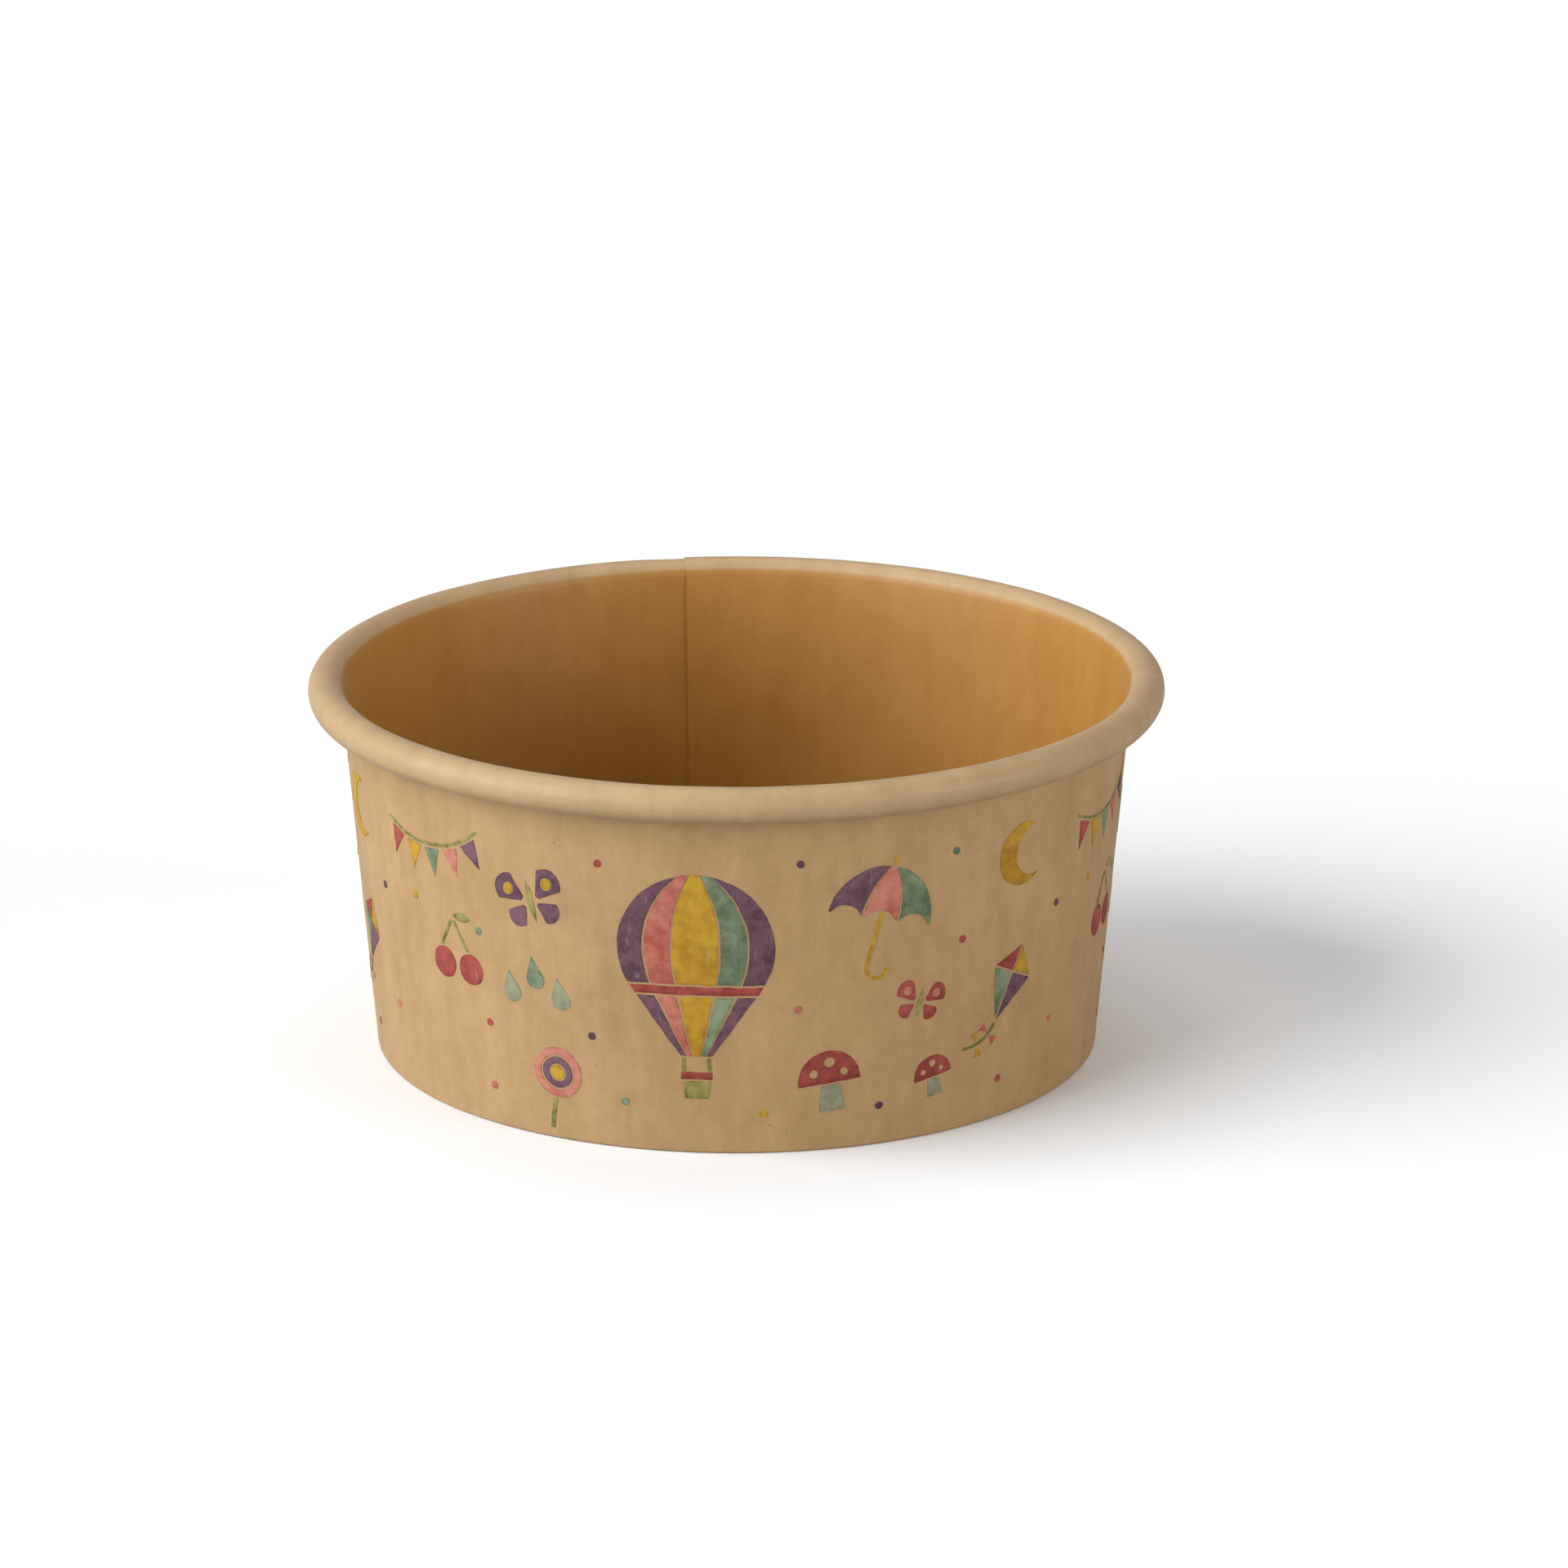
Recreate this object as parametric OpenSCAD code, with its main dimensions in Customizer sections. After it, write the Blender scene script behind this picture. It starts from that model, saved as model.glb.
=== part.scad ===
// Paper dessert cup: a squat kraft-board cup with a rolled rim, a lapped side seam
// and a recessed bottom disc held in a folded hem. The outside is printed in seven inks.
// The axis is Z, the standing edge is at z = 0, and the middle of the print faces -Y.

/* [Cup] */
// Outer diameter over the rolled rim
rim_d = 118; // [108:1:132]
// Height from the standing edge to the top of the roll
cup_h = 53; // [42:1:80]
// Outer diameter of the wall at the standing edge
base_d = 100; // [86:1:106]

/* [Board] */
// Thickness of the side wall's board
board_t = 0.5; // [0.35:0.05:0.7]
// Thickness of the bottom disc's board
disc_t = 0.5; // [0.35:0.05:0.7]

/* [Rolled rim] */
// Outer diameter of the roll
roll_d = 5; // [4:0.1:6.5]
// How far the raw edge is tucked up inside the roll, in degrees
tuck_turn = 110; // [60:5:140]
// Gap between the tucked edge and the wall
tuck_gap = 0.1; // [0.05:0.05:0.4]

/* [Bottom] */
// Height of the disc's underside above the standing edge
disc_rise = 6.5; // [4.5:0.1:12]
// Gap from the hem's upper edge to the disc's underside
hem_gap = 0.9; // [0.6:0.1:2.5]
// Outer radius where the wall is folded under
fold_r = 0.4; // [0.2:0.05:0.6]
// Outer radius where the disc bends down into its skirt
bend_r = 1; // [0.75:0.05:2]
// Gap between the skirt's edge and the fold
skirt_gap = 0.1; // [0.05:0.05:0.5]

/* [Side seam] */
// Width of the lap
lap_w = 7; // [4:0.5:12]
// Width over which the outer layer comes back in beside the lap
relax_w = 7.3; // [5:0.1:12]
// Place of the lap round the cup, in degrees from the front
seam_az = 180; // [150:1:200]

/* [Print] */
// Thickness of an ink field
ink_t = 0.06; // [0.04:0.01:0.1]
// Bare width between two fields of one figure
ink_gap = 0.3; // [0.2:0.05:0.6]
// Number of times that the print repeats round the cup
repeats = 3; // [2:1:3]
// Width of the hot-air balloon
balloon_w = 21; // [16:0.5:23]
// Width of the umbrella
umbrella_w = 15; // [11:0.5:17]
// Height of the kite without its tail
kite_h = 11; // [8:0.5:12]
// Diameter of the moon
moon_d = 9; // [6:0.5:11]
// Wingspan of the large butterfly
butterfly_w = 10; // [7:0.5:12]
// Width of the mushroom's cap
mushroom_w = 8.5; // [6:0.5:10]
// Diameter of the lollipop
lolly_d = 7.2; // [5:0.2:9]
// Diameter of a cherry
cherry_d = 4.4; // [3:0.2:5.2]
// Diameter of a raindrop
drop_d = 2.8; // [2:0.2:3.6]
// Width of a pennant
pennant_w = 3; // [2:0.2:3.4]
// Diameter of a dot
dot_d = 1.1; // [0.8:0.1:1.6]
// Width of a drawn line
line_w = 0.45; // [0.35:0.05:0.7]
// Bare height between the print and the roll
print_margin = 2; // [1:0.5:5]
// Bare height between the standing edge and the print
print_low = 1.5; // [1:0.5:5]

/* [Hidden] */
$fn = 96;
ring_fn = 180;
arc_step = 9;

kraft = [0.76, 0.61, 0.42];
kraft_inner = [0.70, 0.53, 0.33];

// The roll's centre, and the lean of the wall that runs from the standing edge up to the roll
roll_r = roll_d / 2;
roll_x = rim_d / 2 - roll_r;
roll_z = cup_h - roll_r;
roll_reach = norm([roll_x - base_d / 2, roll_z]);
lean = acos((roll_r - board_t) / roll_reach) - atan2(roll_z, roll_x - base_d / 2);
// The tucked turn of the roll is a smaller circle that touches the large one at its lowest point
tuck_r = roll_r - (board_t + tuck_gap) / (1 + sin(lean));
tuck_z = roll_z - roll_r + tuck_r;
// Clearance between two faces that are bonded, or printed one on the other
seat = 0.002;
// The base has three layers: the wall, the disc's skirt and the hem
slot_t = disc_t + 2 * seat;
stack_t = 2 * board_t + slot_t;
hem_h = disc_rise - hem_gap;
disc_top = disc_rise + disc_t;
wall_top = roll_z - roll_r;
// The lap's outer layer is drawn up to where it would meet the tucked turn
lap_in = roll_x - face_x(-board_t, wall_top + board_t) - 0.1;
lap_top = tuck_z - sqrt(pow(tuck_r, 2) - pow(lap_in, 2)) - 0.1;
print_top = wall_top - print_margin;
// Angles and the off-centre distance of the seam
mean_r = face_x(0, cup_h / 2);
lap_deg = lap_w / mean_r * 180 / PI;
relax_deg = relax_w / mean_r * 180 / PI;
relax_k = 2 * board_t / pow(relax_w / mean_r, 2);
relax_x = relax_k * mean_r / (mean_r + relax_k);
seam_clear = 4;
seam_ledge = 0.3;
seam_step = 0.02;
lap_low = fold_r + 0.2;
reach = rim_d;

// Radius at height z of the face that lies a depth d inside the wall's outer face
function face_x(d, z) = base_d / 2 + z * tan(lean) - d / cos(lean);

// A point on a circle of radius r round [x, z], at angle a
function on_circle(x, z, r, a) = [x + r * cos(a), z + r * sin(a)];

// A pie slice from angle a0 to a1 that reaches past everything, with its tip at [0, 0]
module slice(a0, a1, r = reach) {
    steps = ceil((a1 - a0) / 60);
    polygon(concat([[0, 0]], [for (i = [0:steps]) 2 * r * [cos(a0 + (a1 - a0) * i / steps),
        sin(a0 + (a1 - a0) * i / steps)]]));
}

// Points on a circle of radius r round [x, z], from angle a0 to a1, which may run either way
function arc(x, z, r, a0, a1) = let (steps = ceil(abs(a1 - a0) / arc_step))
    [for (i = [0:steps]) on_circle(x, z, r, a0 + (a1 - a0) * i / steps)];

// A strip of the wall between depths d0 and d1, from height z0 to z1
module layer(d0, d1, z0, z1) {
    polygon([[face_x(d0, z0), z0], [face_x(d0, z1), z1], [face_x(d1, z1), z1], [face_x(d1, z0), z0]]);
}

// The wall's section in one line: out of the fold, up the outer face, over the roll and round the
// tuck, back along the roll and down the inner face, then round the slot and the hem
module wall_section() {
    outer_x = face_x(fold_r, fold_r);
    inner_x = face_x(stack_t - fold_r, fold_r);
    slot_in = board_t + slot_t;
    polygon(concat(
        arc(outer_x, fold_r, fold_r, -90, -lean),
        arc(roll_x, roll_z, roll_r - board_t, 180 - lean, -90),
        arc(roll_x, tuck_z, tuck_r - board_t, 270, 270 - tuck_turn),
        arc(roll_x, tuck_z, tuck_r, 270 - tuck_turn, 270),
        arc(roll_x, roll_z, roll_r, -90, 180 - lean),
        [[face_x(board_t, board_t), board_t], [face_x(slot_in, board_t), board_t]],
        [[face_x(slot_in, hem_h), hem_h], [face_x(stack_t, hem_h), hem_h]],
        arc(inner_x, fold_r, fold_r, 180 - lean, 270)
    ));
}

// A sector of space from az0 to az1, where 0 is the front and the right side is 90
module sector(az0, az1) {
    translate([0, 0, -1]) linear_extrude(cup_h + 2) slice(az0 - 90, az1 - 90);
}

// A cone whose surface stands off the wall by d at azimuth az, and falls back to it beside that
module relax_cone(d, az, z0, z1) {
    rotate([0, 0, az - 90]) translate([relax_x, 0, z0])
        cylinder(h = z1 - z0, r1 = face_x(d, z0) - relax_x, r2 = face_x(d, z1) - relax_x, $fn = ring_fn);
}

// The wall blank: rolled at the top, folded under at the bottom and lapped along the seam. Beside the
// lap the outer layer comes back in, so the inside has a shallow hollow next to the inner edge
module side_wall() {
    edge_az = seam_az + lap_deg;
    core = board_t / 2;
    color(kraft) difference() {
        union() {
            rotate_extrude($fn = ring_fn) wall_section();
            rotate([0, 0, seam_az - 90]) rotate_extrude(angle = lap_deg, $fn = ring_fn)
                layer(-board_t, core, lap_low, lap_top);
            difference() {
                intersection() {
                    relax_cone(seam_step - board_t, edge_az, lap_low + seam_step, lap_top - seam_step);
                    sector(edge_az - lap_deg / 4, edge_az + relax_deg * 1.3);
                }
                wall_inside(core);
            }
        }
        intersection() {
            relax_cone(0, edge_az, disc_top + seam_ledge, wall_top - seam_ledge);
            sector(edge_az, edge_az + relax_deg * 1.3);
        }
    }
}

// The space inside the face that lies a depth d inside the wall's outer face
module wall_inside(d) {
    low = -1;
    translate([0, 0, low])
        cylinder(h = cup_h + 2, r1 = face_x(d, low), r2 = face_x(d, cup_h + 2 + low), $fn = ring_fn);
}

// The disc with its edge turned down into a skirt, which the hem grips
module bottom_disc() {
    bend_z = disc_top - bend_r;
    bend_x = face_x(board_t + seat + bend_r, bend_z);
    skirt_z = board_t + skirt_gap;
    color(kraft_inner) rotate_extrude($fn = ring_fn) polygon(concat(
        [[0, disc_rise], [0, disc_top]],
        arc(bend_x, bend_z, bend_r, 90, -lean),
        [[face_x(board_t + seat, skirt_z), skirt_z], [face_x(board_t + seat + disc_t, skirt_z), skirt_z]],
        arc(bend_x, bend_z, bend_r - disc_t, -lean, 90)
    ));
}

// Outlines for the print. Each is flat, with +X to the right and +Y up

// A lens between two arcs, h long along Y, that bulges b to each side
module lens(h, b) {
    r = (h * h / 4 + b * b) / (2 * b);
    intersection() {
        translate([r - b, 0]) circle(r);
        translate([b - r, 0]) circle(r);
    }
}

// Half the width of that lens at height y
function lens_x(h, b, y) = let (r = (h * h / 4 + b * b) / (2 * b)) sqrt(r * r - y * y) - (r - b);

// A round of radius r at [0, 0], drawn out to a point at distance d along +Y
module drop(r, d) {
    a = asin(r / d);
    steps = 16;
    polygon(concat([[0, d]], [for (i = [0:steps]) on_circle(0, 0, r, 180 - a + i * (180 + 2 * a) / steps)]));
}

// A round of radius r whose far side is at distance d along +Y, cut by two lines that meet at [0, 0]
module fan(r, d, half_angle) {
    intersection() {
        translate([0, d - r]) circle(r);
        polygon([[0, 0], on_circle(0, 0, 2 * d, 90 - half_angle), on_circle(0, 0, 2 * d, 90 + half_angle)]);
    }
}

// A drawn line between two points
module stroke(from, to, w = line_w) {
    d = to - from;
    translate(from) rotate(atan2(d.y, d.x)) translate([0, -w / 2]) square([norm(d), w]);
}

// A drawn arc of radius r round [0, 0], from a0 to a1
module arc_line(r, a0, a1, w = line_w) {
    intersection() {
        difference() {
            circle(r + w / 2);
            circle(r - w / 2);
        }
        slice(a0, a1, r);
    }
}

// Shows what is drawn inside it only while that ink is being laid down
module ink(name) {
    if ($ink == name) children();
}

module hot_air_balloon(w = balloon_w) {
    r = w / 2;
    taper = 35;
    mouth = w / 10;
    mouth_y = -w * 0.73;
    belt_h = w / 18;
    belt_y = -r * sin(taper);
    slope = (r * cos(taper) - mouth) / (belt_y - mouth_y);
    lens_h = w * 1.12;
    inner = w * 0.15;
    outer = w * 0.33;
    basket_w = w / 5;
    basket_h = w / 6;
    basket_y = mouth_y - w / 9;
    // Half the envelope's width at a height between the belt and the mouth
    function cone_x(y) = mouth + (y - mouth_y) * slope;
    // A band of the lower envelope between two fractions of its width
    module strip(k0, k1, y0, y1) {
        polygon([[k0 * cone_x(y0), y0], [k1 * cone_x(y0), y0], [k1 * cone_x(y1), y1], [k0 * cone_x(y1), y1]]);
    }
    module dome() {
        intersection() {
            circle(r);
            translate([-w, belt_y + belt_h / 2 + ink_gap]) square([2 * w, 2 * w]);
        }
    }
    module half(s) {
        translate([s > 0 ? 0 : -w, -w]) square([w, 2 * w]);
    }
    low_y = belt_y - belt_h / 2 - ink_gap;
    k_inner = lens_x(lens_h, inner, belt_y) / cone_x(belt_y);
    k_outer = lens_x(lens_h, outer, belt_y) / cone_x(belt_y);
    k_gap = ink_gap / cone_x((low_y + mouth_y) / 2);
    translate([0, w * 0.25]) {
        ink("mustard") {
            intersection() {
                dome();
                lens(lens_h, inner);
            }
            strip(-k_inner, k_inner, mouth_y, low_y);
        }
        for (s = [-1, 1]) ink(s < 0 ? "rose" : "teal") {
            intersection() {
                dome();
                half(s);
                difference() {
                    lens(lens_h, outer);
                    lens(lens_h, inner + ink_gap);
                }
            }
            strip(s * (k_inner + k_gap), s * k_outer, mouth_y, low_y);
        }
        for (s = [-1, 1]) ink("violet") {
            intersection() {
                half(s);
                difference() {
                    dome();
                    lens(lens_h, outer + ink_gap);
                }
            }
            strip(s * (k_outer + k_gap), s, mouth_y, low_y);
        }
        ink("crimson") strip(-1, 1, belt_y - belt_h / 2, belt_y + belt_h / 2);
        ink("olive") for (s = [-1, 1]) {
            stroke([s * mouth * 0.8, mouth_y - ink_gap], [s * basket_w * 0.42, basket_y + ink_gap / 2]);
        }
        ink("crimson") translate([-basket_w / 2, basket_y - basket_h * 0.3]) square([basket_w, basket_h * 0.3]);
        ink("olive") translate([0, basket_y - basket_h * 0.3 - ink_gap]) polygon([
            [-basket_w * 0.45, 0], [basket_w * 0.45, 0],
            [basket_w * 0.36, -basket_h * 0.7], [-basket_w * 0.36, -basket_h * 0.7]
        ]);
    }
}

module umbrella(w = umbrella_w) {
    r = w / 2;
    scallop = w / 6;
    rib = w / 6;
    module canopy() {
        difference() {
            circle(r);
            translate([-w, -w]) square([2 * w, w]);
            for (x = [-2, 0, 2]) translate([x * scallop, -scallop / 2]) circle(scallop);
        }
    }
    ink("rose") intersection() {
        canopy();
        lens(w * 1.08, rib);
    }
    for (s = [-1, 1]) ink(s < 0 ? "violet" : "teal") difference() {
        canopy();
        lens(w * 1.08, rib + ink_gap);
        translate([s > 0 ? -w : 0, -w]) square([w, 2 * w]);
    }
    ink("mustard") {
        translate([-line_w * 0.6, r + ink_gap]) square([line_w * 1.2, w / 12]);
        translate([-line_w * 0.6, -r * 0.9]) square([line_w * 1.2, r * 0.9 + scallop / 2 - ink_gap]);
        translate([w / 10, -r * 0.9]) arc_line(w / 10, 180, 360, line_w * 1.2);
    }
}

module kite(h = kite_h) {
    w = h * 0.72;
    cross_y = h * 0.12;
    g = ink_gap / 2;
    ink("crimson") polygon([[-g, cross_y + g], [-g, h * 0.46], [-w / 2 + g, cross_y + g]]);
    ink("mustard") polygon([[g, cross_y + g], [g, h * 0.46], [w / 2 - g, cross_y + g]]);
    ink("teal") polygon([[-g, cross_y - g], [-g, -h * 0.5], [-w / 2 + g, cross_y - g]]);
    ink("violet") polygon([[g, cross_y - g], [g, -h * 0.5], [w / 2 - g, cross_y - g]]);
    tail_r = h * 0.45;
    ink("olive") translate([-tail_r, -h * 0.5 - ink_gap]) arc_line(tail_r, -75, -2);
    for (a = [-22, -50]) translate([-tail_r, -h * 0.5 - ink_gap]) rotate(a) translate([tail_r, 0])
        ink(a == -22 ? "rose" : "mustard") for (s = [-1, 1]) scale(s)
            polygon([[line_w, 0], [line_w * 4, line_w * 1.6], [line_w * 4, -line_w * 1.6]]);
}

module moon(d = moon_d) {
    ink("mustard") difference() {
        circle(d / 2);
        translate([d * 0.22, d * 0.1]) circle(d * 0.4);
    }
}

module butterfly(wings, w = butterfly_w) {
    spot = wings == "violet" ? "mustard" : "rose";
    root_x = w * 0.045 + ink_gap;
    spot_r = w * 0.09;
    for (s = [-1, 1]) {
        translate([s * root_x, w * 0.02]) rotate(-s * 50) {
            ink(wings) difference() {
                fan(w * 0.23, w * 0.52, 30);
                translate([0, w * 0.31]) circle(spot_r);
            }
            ink(spot) translate([0, w * 0.31]) circle(spot_r - ink_gap / 2);
        }
        ink(wings) translate([s * root_x, -w * 0.02]) rotate(-s * 132) fan(w * 0.17, w * 0.38, 32);
    }
    body = [w * 0.045, w * 0.3];
    ink("olive") polygon([
        [0, body.y], [body.x, body.y / 2], [body.x, -body.y / 3],
        [0, -body.y], [-body.x, -body.y / 3], [-body.x, body.y / 2]
    ]);
}

module mushroom(w = mushroom_w) {
    r = w / 2;
    ink("crimson") difference() {
        circle(r);
        translate([-w, -w - r * 0.1]) square([2 * w, w]);
        for (p = [[-0.5, 0.28, 0.15], [0.05, 0.6, 0.17], [0.48, 0.22, 0.13]])
            translate([p.x, p.y] * r) circle(p.z * r);
    }
    ink("sage") polygon([
        [-r * 0.3, -r * 0.1 - ink_gap], [r * 0.3, -r * 0.1 - ink_gap],
        [r * 0.42, -r * 1.05], [-r * 0.42, -r * 1.05]
    ]);
}

module lollipop(d = lolly_d) {
    r = d / 2;
    ink("rose") difference() {
        circle(r);
        circle(r * 0.7);
    }
    ink("violet") difference() {
        circle(r * 0.7 - ink_gap);
        circle(r * 0.35);
    }
    ink("mustard") circle(r * 0.35 - ink_gap);
    ink("olive") translate([-line_w * 0.7, -r * 2.6]) square([line_w * 1.4, r * 1.6 - ink_gap]);
}

module cherries(d = cherry_d) {
    spread = d * 0.58;
    top = [d * 0.15, d * 1.45];
    for (s = [-1, 1]) {
        ink("crimson") translate([s * spread, -s * d * 0.1]) circle(d / 2);
        ink("olive") stroke([s * spread, -s * d * 0.1 + d / 2 + ink_gap], [top.x + s * line_w * 0.6, top.y]);
    }
    ink("olive") translate(top + [d * 0.45, line_w]) rotate(90 - 12) lens(d * 0.75, d * 0.14);
}

module raindrops(d = drop_d) {
    for (i = [0:2]) translate([d * 1.35 * (i - 1), d * 0.9 * (i % 2)])
        ink(i == 1 ? "teal" : "sage") rotate(8) drop(d / 2, d * 1.15);
}

// A short swag of bunting: pennants hung on a string that is an arc of a large circle
module bunting(w = pennant_w) {
    r = w * 6;
    step = 12;
    inks = ["crimson", "mustard", "teal", "rose", "violet"];
    translate([0, r]) {
        ink("olive") arc_line(r, -90 - step * 2.7, -90 + step * 2.7);
        for (i = [0:4]) rotate(step * (i - 2)) translate([0, -r - line_w / 2 - ink_gap])
            ink(inks[i]) polygon([[-w / 2, 0], [w / 2, 0], [0, -w * 1.3]]);
    }
}

module dot(name, d = dot_d) {
    ink(name) circle(d / 2);
}

// One repeat of the print: the figure, its place round the cup in degrees, its height as a share of
// half the print's height (0 is the middle), and its turn
FIGURES = [
    ["balloon", -6, 0.02, 0],
    ["umbrella", 21, 0.4, -14],
    ["kite", 45, -0.18, -24],
    ["moon", 46, 0.63, -18],
    ["butterfly", -31, 0.45, 14],
    ["mushroom", 14, -0.61, 6],
    ["cherries", -46, -0.09, 10],
    ["lollipop", -28, -0.63, -8],
    ["small mushroom", 31, -0.67, 10],
    ["raindrops", -31, -0.16, 0],
    ["bunting", -50, 0.65, 6],
    ["small butterfly", 28, -0.18, -12]
];
// The dots of one repeat: place round the cup, height as above, and ink
DOTS = [
    [-20, 0.76, "crimson"], [9, 0.79, "violet"], [-22, -0.36, "violet"], [9, -0.14, "rose"],
    [33, 0.76, "teal"], [35, 0.18, "crimson"], [-40, -0.4, "crimson"], [-41, 0.18, "teal"],
    [55, 0.22, "violet"], [-17, -0.76, "teal"], [4, -0.81, "mustard"], [22, -0.81, "violet"],
    [44, -0.81, "crimson"], [-55, 0.27, "mustard"], [-40, -0.81, "rose"], [56, -0.54, "rose"]
];

module figure(name) {
    if (name == "balloon") hot_air_balloon();
    if (name == "umbrella") umbrella();
    if (name == "kite") kite();
    if (name == "moon") moon();
    if (name == "butterfly") butterfly("violet");
    if (name == "small butterfly") butterfly("crimson", butterfly_w * 0.7);
    if (name == "mushroom") mushroom();
    if (name == "small mushroom") mushroom(mushroom_w * 0.68);
    if (name == "cherries") cherries();
    if (name == "lollipop") lollipop();
    if (name == "raindrops") raindrops();
    if (name == "bunting") bunting();
}

// True if a place round the cup is clear of the lap and of the stretch beside it
function off_seam(az) = let (a = (az - seam_az + 540) % 360 - 180)
    a < -seam_clear || a > lap_deg + relax_deg + seam_clear;

// Carries a flat outline out to the wall at a place round the cup
module at_wall(az, up, turn) {
    near = base_d / 2 - roll_d;
    z = (print_top + print_low + up * (print_top - print_low)) / 2;
    rotate([0, 0, az]) translate([0, -near, z]) rotate([90, 0, 0])
        linear_extrude(rim_d - near) rotate(turn) children();
}

// All of one ink, as thin fields that lie on the wall's outer face
module print_layer(name, paint) {
    $ink = name;
    color(paint) intersection() {
        rotate_extrude($fn = ring_fn) layer(-ink_t - seat, -seat, print_low, print_top);
        for (n = [0:repeats - 1]) {
            for (f = FIGURES) if (off_seam(n * 360 / repeats + f[1]))
                at_wall(n * 360 / repeats + f[1], f[2], f[3]) figure(f[0]);
            for (p = DOTS) if (off_seam(n * 360 / repeats + p[0]))
                at_wall(n * 360 / repeats + p[0], p[1], 0) dot(p[2]);
        }
    }
}

module print_violet() { print_layer("violet", [0.38, 0.26, 0.40]); }
module print_crimson() { print_layer("crimson", [0.62, 0.22, 0.24]); }
module print_rose() { print_layer("rose", [0.75, 0.38, 0.38]); }
module print_teal() { print_layer("teal", [0.28, 0.44, 0.37]); }
module print_sage() { print_layer("sage", [0.52, 0.58, 0.50]); }
module print_mustard() { print_layer("mustard", [0.76, 0.58, 0.12]); }
module print_olive() { print_layer("olive", [0.46, 0.47, 0.20]); }

side_wall();
bottom_disc();
print_violet();
print_crimson();
print_rose();
print_teal();
print_sage();
print_mustard();
print_olive();
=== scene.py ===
"""Paper dessert cup: a squat kraft board cup with a rolled rim and a watercolour print."""
from math import acos, atan2, ceil, cos, floor, hypot, pi, radians, sin, tan

import bmesh
import bpy
from mathutils import Matrix, Vector, kdtree, noise


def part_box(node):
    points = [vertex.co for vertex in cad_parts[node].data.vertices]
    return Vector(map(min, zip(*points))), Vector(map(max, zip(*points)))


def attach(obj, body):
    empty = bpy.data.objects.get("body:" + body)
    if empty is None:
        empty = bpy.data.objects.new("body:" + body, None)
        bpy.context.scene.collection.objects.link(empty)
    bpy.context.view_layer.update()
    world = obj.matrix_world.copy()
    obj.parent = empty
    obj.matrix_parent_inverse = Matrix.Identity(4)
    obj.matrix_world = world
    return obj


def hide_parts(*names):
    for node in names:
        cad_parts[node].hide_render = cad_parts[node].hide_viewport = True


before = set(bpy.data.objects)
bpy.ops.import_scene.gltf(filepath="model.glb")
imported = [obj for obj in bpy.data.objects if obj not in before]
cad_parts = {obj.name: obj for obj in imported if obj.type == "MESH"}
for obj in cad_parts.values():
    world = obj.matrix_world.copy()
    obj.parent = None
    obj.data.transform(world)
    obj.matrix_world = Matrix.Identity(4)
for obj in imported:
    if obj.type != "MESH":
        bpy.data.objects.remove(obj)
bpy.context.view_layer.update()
scene = bpy.context.scene
scene.view_settings.view_transform = "Standard"

# The camera on its stand: a long lens, a metre from the cup and 16 degrees above the rim, aimed a
# little past the rim's middle.
rim_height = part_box("side_wall")[1].z
camera_away = 0.98176
camera_up = radians(16.33)
camera_pan = radians(-0.38)
camera_tilt = radians(-0.95)
camera_roll = radians(-0.04)
camera = bpy.data.objects.new("camera", bpy.data.cameras.new("camera"))
scene.collection.objects.link(camera)
scene.camera = camera
camera.data.sensor_width = 36
camera.data.lens = 163.9
camera.data.clip_start = 0.05
camera.data.clip_end = 20
outward = Vector((0, -cos(camera_up), sin(camera_up)))
camera.location = Vector((0, 0, rim_height)) + outward * camera_away
aim = (-outward).to_track_quat("-Z", "Y").to_matrix()
turned = Matrix.Rotation(camera_pan, 3, "Y") @ Matrix.Rotation(camera_tilt, 3, "X")
turned = turned @ Matrix.Rotation(camera_roll, 3, "Z")
camera.rotation_mode = "QUATERNION"
camera.rotation_quaternion = (aim @ turned).to_quaternion()

# The studio: a plain floor that runs out of sight, a large soft box to the front left, two small fills,
# a light overhead and a room that is darker behind. Only the camera sees floor and room as white, and the
# cup's shadow stays on the floor.
floor_reach = 4
floor_gap = 0.00002
floor_grey = (0.42, 0.42, 0.42, 1)
floor_white = (0.93, 0.93, 0.93, 1)
floor_lift = 0.04
room_low, room_high, room_behind = 0.61, 0.03, 0.3
lamp_away = 8
bm = bmesh.new()
bmesh.ops.create_circle(bm, cap_ends=True, radius=floor_reach, segments=96)
bmesh.ops.translate(bm, verts=bm.verts, vec=(0, 0, -floor_gap))
mesh = bpy.data.meshes.new("studio_floor")
bm.to_mesh(mesh)
bm.free()
studio_floor = bpy.data.objects.new("studio_floor", mesh)
scene.collection.objects.link(studio_floor)


def add(tree, kind, **given):
    """Adds a node to a tree. A socket is given by its name with _ for a space, or by its number as in0,
    and gets a value or a socket to link. A setting of the node itself starts with set_."""
    node = tree.nodes.new(kind)
    for name, value in given.items():
        if name.startswith("set_"):
            setattr(node, name[4:], value)
            continue
        numbered = name.startswith("in") and name[2:].isdigit()
        spot = node.inputs[int(name[2:]) if numbered else name.replace("_", " ")]
        if isinstance(value, bpy.types.NodeSocket):
            tree.links.new(value, spot)
        else:
            spot.default_value = value
    return node


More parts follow.
